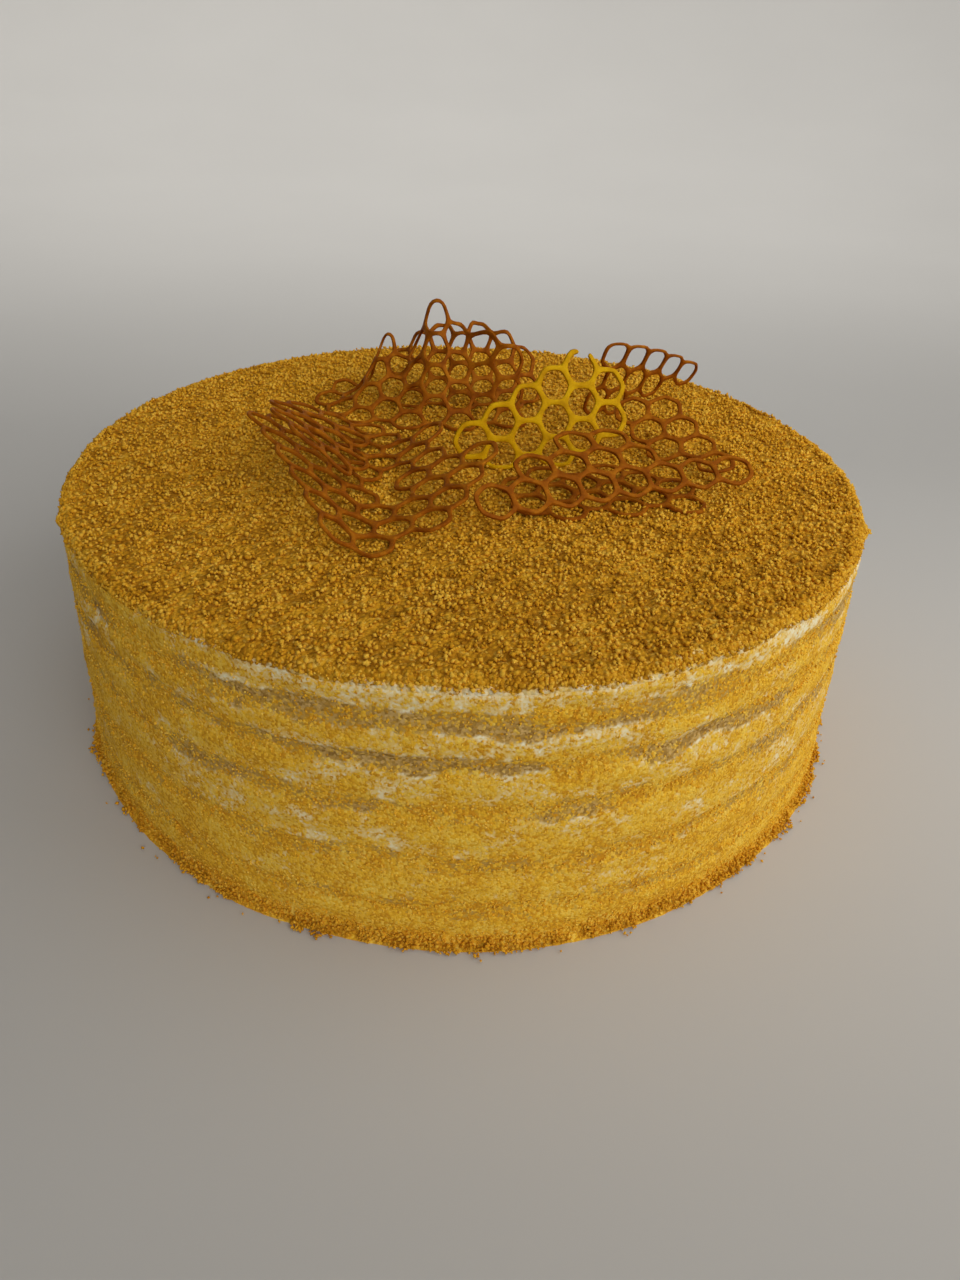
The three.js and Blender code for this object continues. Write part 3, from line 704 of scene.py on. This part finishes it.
class Shader:
    """A material with a few short ways to add and join its nodes."""

    def __init__(self, name):
        self.material = bpy.data.materials.new(name)
        self.material.use_nodes = True
        self.tree = self.material.node_tree
        self.surface = self.tree.nodes["Principled BSDF"]
        self.place = self.tree.nodes.new("ShaderNodeTexCoord").outputs["Object"]

    def join(self, source, target):
        self.tree.links.new(source, target)

    def field(self, name):
        node = self.tree.nodes.new("ShaderNodeAttribute")
        node.attribute_name = name
        return node.outputs["Fac"]

    def noise(self, size_mm, detail):
        node = self.tree.nodes.new("ShaderNodeTexNoise")
        self.join(self.place, node.inputs["Vector"])
        node.inputs["Scale"].default_value = 1 / (size_mm * MM)
        node.inputs["Detail"].default_value = detail
        node.inputs["Roughness"].default_value = NOISE_ROUGHNESS
        return node.outputs["Fac"]

    def drift(self, size_mm, detail, strength):
        """Noise that swings round zero."""
        swing = self.math("SUBTRACT", self.noise(size_mm, detail), 0.5)
        return self.math("MULTIPLY", swing, strength)

    def grains(self, size_mm):
        """Cells like packed crumbs: two random numbers for each and the way from its middle."""
        node = self.tree.nodes.new("ShaderNodeTexVoronoi")
        self.join(self.place, node.inputs["Vector"])
        node.inputs["Scale"].default_value = 1 / (size_mm * MM)
        split = self.tree.nodes.new("ShaderNodeSeparateColor")
        self.join(node.outputs["Color"], split.inputs["Color"])
        return split.outputs["Red"], split.outputs["Green"], node.outputs["Distance"]

    def ramp(self, value, stops):
        node = self.tree.nodes.new("ShaderNodeValToRGB")
        self.join(value, node.inputs["Fac"])
        while len(node.color_ramp.elements) < len(stops):
            node.color_ramp.elements.new(0.5)
        for element, (position, colour) in zip(node.color_ramp.elements, stops):
            element.position = position
            element.color = colour
        return node.outputs["Color"]

    def math(self, operation, first, second, clamp=False):
        node = self.tree.nodes.new("ShaderNodeMath")
        node.operation = operation
        node.use_clamp = clamp
        for socket, value in zip(node.inputs, (first, second)):
            if isinstance(value, (int, float)):
                socket.default_value = value
            else:
                self.join(value, socket)
        return node.outputs[0]

    def mix(self, share, first, second):
        node = self.tree.nodes.new("ShaderNodeMix")
        node.data_type = "RGBA"
        self.join(share, node.inputs["Factor"])
        for index, value in zip(MIX_INPUTS, (first, second)):
            if isinstance(value, tuple):
                node.inputs[index].default_value = value
            else:
                self.join(value, node.inputs[index])
        return node.outputs[MIX_OUTPUT]

    def bump(self, height, depth_mm):
        node = self.tree.nodes.new("ShaderNodeBump")
        node.inputs["Distance"].default_value = depth_mm * MM
        self.join(height, node.inputs["Height"])
        self.join(node.outputs["Normal"], self.surface.inputs["Normal"])

    def done(self, colour, roughness, specular):
        self.join(colour, self.surface.inputs["Base Color"])
        self.surface.inputs["Roughness"].default_value = roughness
        self.surface.inputs["Specular IOR Level"].default_value = specular
        return self.material


# The top's crumb tones are darker than the side's: partly the crumbs' own browner colour, partly painted
# shade for the weaker light on the top.
TOP_TONES_AND_SHADE = (tint(172, 116, 20), tint(220, 160, 34), tint(242, 194, 70))
SIDE_TONES = (tint(218, 154, 36), tint(248, 193, 51), tint(255, 220, 100))
FOOT_TONES = (tint(196, 134, 26), tint(228, 166, 38), tint(246, 198, 70))
CARAMEL_TONES = (tint(132, 66, 4), tint(158, 86, 8), tint(184, 112, 16))
YELLOW_TONES = (tint(184, 132, 2), tint(206, 156, 4), tint(220, 174, 12))
CREAM_TONES = ((0.1, tint(246, 220, 150)), (0.6, tint(255, 246, 212)))
BISCUIT_TONES = ((0.1, tint(150, 112, 54)), (0.5, tint(188, 150, 84)), (0.95, tint(220, 184, 116)))
DUSTED_CREAM, DUSTED_BISCUIT = tint(244, 198, 82), tint(206, 160, 66)
PALE_FLOOR = tint(200, 198, 194)
FLOOR_SHADE = 0.97             # the floor's darker places, as a share of its colour
# Where the tones lie on their ramps.
COAT_STOPS, GRAIN_STOPS = (0, 0.35, 0.8), (0.1, 0.45, 0.9)
WAFER_STOPS, FLOOR_STOPS = (0.3, 0.5, 0.7), (0.3, 0.7)

# Noise of the colours: size in millimetres, detail and, where it swings round zero, strength.
NOISE_ROUGHNESS = 0.6
SPECK, COAT_DRIFT = (1.1, 3, 1.2), (7, 4, 1.3)
GRAIN_SPECKLE, GRAIN_DRIFT = (0.5, 2, 0.5), (9, 2, 0.7)
WAFER_PATCHES, WAFER_GRAIN, WAFER_BUMP = (3.2, 3), (0.9, 2), 0.08
FLOOR_PATCHES = (240, 2)

# Packed grains: size, depth of the relief, and how much painted shade darkens the gaps between them.
SIDE_GRAINS, TOP_GRAINS = (0.55, 0.16, 0.12), (0.9, 0.5, 0.35)
GRAIN_CONTRAST = 0.65
HEAP_PAINTED_SHADE = 0.5                # how far painted shade makes a grain of the top lighter on its heap and darker between heaps
DUST_FROM, DUST_GROWTH = 0.12, 1.6
BISCUIT_FROM, BISCUIT_GROWTH = 0.25, 2
LAID_REACH, LAID_GROWTH = 1.2, 2.5

SIDE_ROUGHNESS, CRUMB_ROUGHNESS, WAFER_ROUGHNESS, FLOOR_ROUGHNESS = 0.9, 0.95, 0.65, 0.8
CRUMB_SPECULAR, WAFER_SPECULAR, FLOOR_SPECULAR = 0.1, 0.05, 0.2
WAFER_IOR = 1.48
CARAMEL_THROUGH, YELLOW_THROUGH = 0.06, 0.03       # share of the light that passes through


def coat_colour(shader, tone, depth, painted_gap_shade, tones):
    """Crumb colours that vary from grain to grain and drift from place to place, with painted shade that
    darkens the gaps.
    """
    value = shader.math("MULTIPLY", tone, GRAIN_CONTRAST)
    value = shader.math("ADD", value, shader.drift(*COAT_DRIFT))
    # Painted shade: darker towards the gaps between the grains.
    value = shader.math("SUBTRACT", value, shader.math("MULTIPLY", depth, painted_gap_shade))
    return shader.ramp(value, tuple(zip(COAT_STOPS, tones)))


def dust_share(shader, cover):
    """How far golden dust hides the cream and the biscuit: more where the crumbs get denser."""
    return shader.math("MULTIPLY", shader.math("SUBTRACT", cover, DUST_FROM), DUST_GROWTH, clamp=True)


def laid_crumbs(shader, cover, pick):
    """Where a grain lies: the denser the cover, the more of them."""
    lies = shader.math("SUBTRACT", shader.math("MULTIPLY", cover, LAID_REACH), pick)
    return shader.math("MULTIPLY", lies, LAID_GROWTH, clamp=True)


def skin_material(name):
    """The side: mottled cream or biscuit under dust and an uneven coat of crumbs."""
    shader = Shader(name)
    size, relief, painted_gap_shade = SIDE_GRAINS
    speck = shader.drift(*SPECK)
    edge = shader.math("SUBTRACT", shader.math("ADD", shader.field("biscuit"), speck), BISCUIT_FROM)
    biscuit = shader.math("MULTIPLY", edge, BISCUIT_GROWTH, clamp=True)
    cover = shader.math("ADD", shader.field("cover"), speck)
    pick, tone, depth = shader.grains(size)
    laid = laid_crumbs(shader, cover, pick)
    shader.bump(shader.math("MULTIPLY", shader.math("SUBTRACT", 1.0, depth), laid), relief)
    bare = shader.mix(biscuit, shader.ramp(tone, CREAM_TONES), shader.ramp(tone, BISCUIT_TONES))
    dusted = shader.mix(biscuit, DUSTED_CREAM, DUSTED_BISCUIT)
    surface = shader.mix(dust_share(shader, cover), bare, dusted)
    coat = coat_colour(shader, tone, depth, painted_gap_shade, SIDE_TONES)
    return shader.done(shader.mix(laid, surface, coat), SIDE_ROUGHNESS, CRUMB_SPECULAR)


def top_material():
    """The top: crumbs all over, and dusted cream where the rounded edge is bare."""
    shader = Shader("crumb_coat")
    size, relief, painted_gap_shade = TOP_GRAINS
    cover = shader.math("ADD", shader.field("cover"), shader.drift(*SPECK))
    pick, tone, depth = shader.grains(size)
    shader.bump(shader.math("SUBTRACT", 1.0, depth), relief)
    # Painted shade: the top's grains are lighter on the heaps and darker between them.
    heap = shader.math("MULTIPLY", shader.field("heap"), HEAP_PAINTED_SHADE)
    heap_shaded_tone = shader.math("ADD", shader.math("MULTIPLY", tone, 1 - HEAP_PAINTED_SHADE), heap)
    coat = coat_colour(shader, heap_shaded_tone, depth, painted_gap_shade, TOP_TONES_AND_SHADE)
    surface = shader.mix(dust_share(shader, cover), shader.ramp(tone, CREAM_TONES), DUSTED_CREAM)
    colour = shader.mix(laid_crumbs(shader, cover, pick), surface, coat)
    return shader.done(colour, CRUMB_ROUGHNESS, CRUMB_SPECULAR)


def grain_material(name, tones):
    """Loose crumbs: the shade that each brings along, with fine speckles."""
    shader = Shader(name)
    uneven = shader.math("ADD", shader.drift(*GRAIN_SPECKLE), shader.drift(*GRAIN_DRIFT))
    value = shader.math("ADD", shader.field("shade"), uneven)
    colour = shader.ramp(value, tuple(zip(GRAIN_STOPS, tones)))
    return shader.done(colour, CRUMB_ROUGHNESS, CRUMB_SPECULAR)


def wafer_material(name, tones, through):
    shader = Shader(name)
    colour = shader.ramp(shader.noise(*WAFER_PATCHES), tuple(zip(WAFER_STOPS, tones)))
    shader.bump(shader.noise(*WAFER_GRAIN), WAFER_BUMP)
    shader.surface.inputs["Transmission Weight"].default_value = through
    shader.surface.inputs["IOR"].default_value = WAFER_IOR
    return shader.done(colour, WAFER_ROUGHNESS, WAFER_SPECULAR)


def plain_material(name, colour):
    shader = Shader(name)
    darker = tuple(FLOOR_SHADE * value for value in colour[:3]) + (1,)
    tones = shader.ramp(shader.noise(*FLOOR_PATCHES), tuple(zip(FLOOR_STOPS, (darker, colour))))
    return shader.done(tones, FLOOR_ROUGHNESS, FLOOR_SPECULAR)


honey_skin = skin_material("honey_biscuit")
cream_skin = skin_material("cream_filling")
crumb_coat = top_material()
top_grains = grain_material("crumbs_golden_brown_and_shade", TOP_TONES_AND_SHADE)
side_grains = grain_material("crumbs_golden", SIDE_TONES)
foot_grains = grain_material("crumbs_orange_brown", FOOT_TONES)
caramel = wafer_material("caramel_lace", CARAMEL_TONES, CARAMEL_THROUGH)
yellow = wafer_material("yellow_lace", YELLOW_TONES, YELLOW_THROUGH)

# ---- The cake ----

for number, (layer_name, *_) in enumerate(LAYERS):
    is_cream = layer_name.startswith("cream")
    layer_piece(number, cream_skin if is_cream else honey_skin, "cream" if is_cream else "honey_layer")
top_piece(crumb_coat)
top_crumbs(top_grains)
rim_crumbs(top_grains)
side_crumbs(side_grains)
foot_crumbs(foot_grains)
for wafer_choice in WAFERS:
    is_yellow = wafer_choice["tint"] == "yellow"
    wafer_piece(wafer_choice, yellow if is_yellow else caramel)

# ---- Floor, light and camera ----

# The floor rises far from the cake. Its last rings keep nearly one angle as seen from the cake, so
# that they take little light from it and low views see less of its end.
FLOOR_REACHES = (0, 300, 700, 1000, 1300, 1600, 1850, 2000, 4000, 30000)
FLOOR_HEIGHTS = (0, 0, 0, 24, 96, 240, 420, 600, 1200, 9600)
FLOOR_STEPS = 96
LIGHT_COLOUR = (1.0, 0.985, 0.96)
# Lamps: the direction and the height that they shine from in degrees, strength.
DAYLIGHT, DAYLIGHT_SPREAD = (-63, 20, 2.3), 60
WINDOW, WINDOW_SIZE, WINDOW_DISTANCE = (-15, 45, 0.4), 300, 360
CEILING, CEILING_PLACE = (-90, 90, 3.2), (0, 0, 1500)
BACKDROP, BACKDROP_PLACE, BACKDROP_DEPTH = (-90, 17, 9.0), (0, 450, 900), 500
BEHIND, BEHIND_PLACE = (-90, 52, 2.3), (0, 750, 800)
WIDE_LAMP = 1600
WORLD_STRENGTH = 0.05
CLIP_START = 10


def make_floor():
    around = 2 * np.pi * np.arange(FLOOR_STEPS) / FLOOR_STEPS
    rings = [polar(around, reach, height) for reach, height in zip(FLOOR_REACHES[1:], FLOOR_HEIGHTS[1:])]
    points = np.concatenate([*rings, [[0, 0, 0]]])
    mesh = bpy.data.meshes.new("floor")
    quads = ring_quads(len(rings) - 1, FLOOR_STEPS)[:, ::-1]
    centre = fan(np.arange(FLOOR_STEPS), len(points) - 1, True)
    mesh.from_pydata((points * MM).tolist(), [], quads.tolist() + centre.tolist())
    mesh.materials.append(plain_material("pale_floor", PALE_FLOOR))
    for face in mesh.polygons:
        face.use_smooth = True
    floor = bpy.data.objects.new("floor", mesh)
    bpy.context.scene.collection.objects.link(floor)


def make_light(name, kind, degrees, elevation, strength):
    """A lamp that shines from a direction and height in degrees, unseen itself."""
    lamp = bpy.data.lights.new(name, kind)
    lamp.energy = strength
    lamp.color = LIGHT_COLOUR
    light = bpy.data.objects.new(name, lamp)
    light.visible_camera = False
    bpy.context.scene.collection.objects.link(light)
    light.rotation_euler = (math.radians(90 - elevation), 0, math.radians(degrees + 90))
    return light


def make_lights():
    """Broad daylight from the front right, a near window on the right, a wide light above, and
    one each for the backdrop and the floor behind the cake."""
    daylight = make_light("daylight", "SUN", *DAYLIGHT)
    daylight.data.angle = math.radians(DAYLIGHT_SPREAD)
    window = make_light("window", "AREA", *WINDOW)
    window.data.size = WINDOW_SIZE * MM
    backwards = window.rotation_euler.to_matrix() @ Vector((0, 0, 1))
    window.location = backwards * WINDOW_DISTANCE * MM
    for name, aim, place in (("ceiling", CEILING, CEILING_PLACE), ("backdrop", BACKDROP, BACKDROP_PLACE),
                             ("behind", BEHIND, BEHIND_PLACE)):
        light = make_light(name, "AREA", *aim)
        light.data.size = WIDE_LAMP * MM
        light.location = [v * MM for v in place]
        if name == "backdrop":
            light.data.shape = "RECTANGLE"
            light.data.size_y = BACKDROP_DEPTH * MM
    world = bpy.data.worlds.new("studio")
    world.use_nodes = True
    background = world.node_tree.nodes["Background"]
    background.inputs["Color"].default_value = (*LIGHT_COLOUR, 1)
    background.inputs["Strength"].default_value = WORLD_STRENGTH
    bpy.context.scene.world = world


def make_camera():
    """The camera at the photo's angle, turned by its yaw, its tilt down and its roll."""
    down, roll, yaw = (math.radians(v) for v in (CAMERA_DOWN, CAMERA_ROLL, CAMERA_YAW))
    forward = np.array([math.sin(yaw) * math.cos(down), math.cos(yaw) * math.cos(down), -math.sin(down)])
    level = np.array([math.cos(yaw), -math.sin(yaw), 0])
    above = np.cross(level, forward)
    right = math.cos(roll) * level + math.sin(roll) * above
    up = -math.sin(roll) * level + math.cos(roll) * above
    lens = bpy.data.cameras.new("camera")
    lens.sensor_width = SENSOR
    lens.lens = FOCAL_PIXELS / FRAME_HEIGHT * SENSOR
    lens.clip_start = CLIP_START * MM
    camera = bpy.data.objects.new("camera", lens)
    bpy.context.scene.collection.objects.link(camera)
    turn = Matrix(np.stack([right, up, -forward], 1).tolist()).to_4x4()
    camera.matrix_world = Matrix.Translation([v * MM for v in CAMERA_PLACE]) @ turn
    bpy.context.scene.camera = camera


make_floor()
make_lights()
bpy.context.scene.view_settings.view_transform = "Standard"
make_camera()
